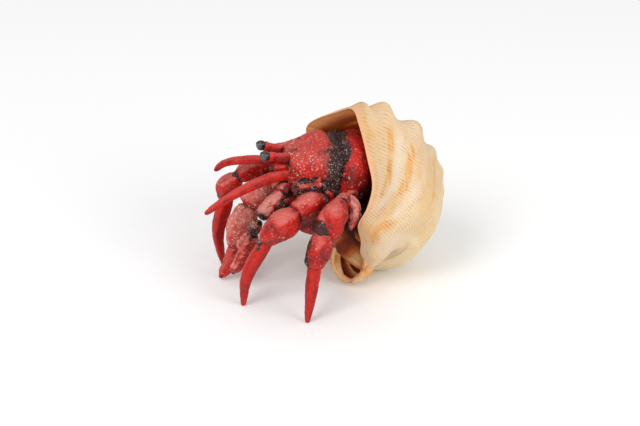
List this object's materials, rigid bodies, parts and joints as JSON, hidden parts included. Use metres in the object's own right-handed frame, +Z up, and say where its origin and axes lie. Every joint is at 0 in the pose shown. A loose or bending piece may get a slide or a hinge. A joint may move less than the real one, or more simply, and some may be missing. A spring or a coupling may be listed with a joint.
{
  "type": "toy hermit crab figure",
  "caption": "Painted moulded-plastic hermit crab looking out of a knobbed spiral whelk shell, standing on its leg tips and the shell's base.",
  "frame": {"origin": "centre of the bounding box in plan, at the floor the figure stands on", "axes": "+Z up, the crab looks towards -Y, its left side is +X"},
  "size_m": [0.059, 0.0768, 0.0549],
  "materials": {
    "shell": "matte",
    "eyes": "gloss",
    "carapace": "satin",
    "feelers": "satin",
    "underside": "satin",
    "large_claw": "satin",
    "limbs": "satin"
  },
  "bodies": {
    "root": {"antenna_l": "feelers", "antenna_r": "feelers", "carapace_front": "carapace", "carapace_rear": "carapace", "claw_large_carpus": "large_claw", "claw_large_finger": "large_claw", "claw_large_merus": "large_claw", "claw_large_palm": "large_claw", "claw_large_thumb": "large_claw", "claw_small_carpus": "limbs", "claw_small_finger": "limbs", "claw_small_merus": "limbs", "claw_small_palm": "limbs", "eye_l": "eyes", "eye_r": "eyes", "eyestalk_l": "carapace", "eyestalk_r": "carapace", "leg_fourth_l": "limbs", "leg_fourth_r": "limbs", "leg_front_l_carpus": "limbs", "leg_front_l_dactyl": "limbs", "leg_front_l_merus": "limbs", "leg_front_l_propodus": "limbs", "leg_front_r_carpus": "limbs", "leg_front_r_dactyl": "limbs", "leg_front_r_merus": "limbs", "leg_front_r_propodus": "limbs", "leg_rear_l_carpus": "limbs", "leg_rear_l_dactyl": "limbs", "leg_rear_l_merus": "limbs", "leg_rear_l_propodus": "limbs", "leg_rear_r_carpus": "limbs", "leg_rear_r_dactyl": "limbs", "leg_rear_r_merus": "limbs", "leg_rear_r_propodus": "limbs", "mouthparts": "underside", "shell_body_whorl": "shell", "shell_spire": "shell", "shell_spout": "shell", "thorax": "underside"}
  },
  "joints": []
}
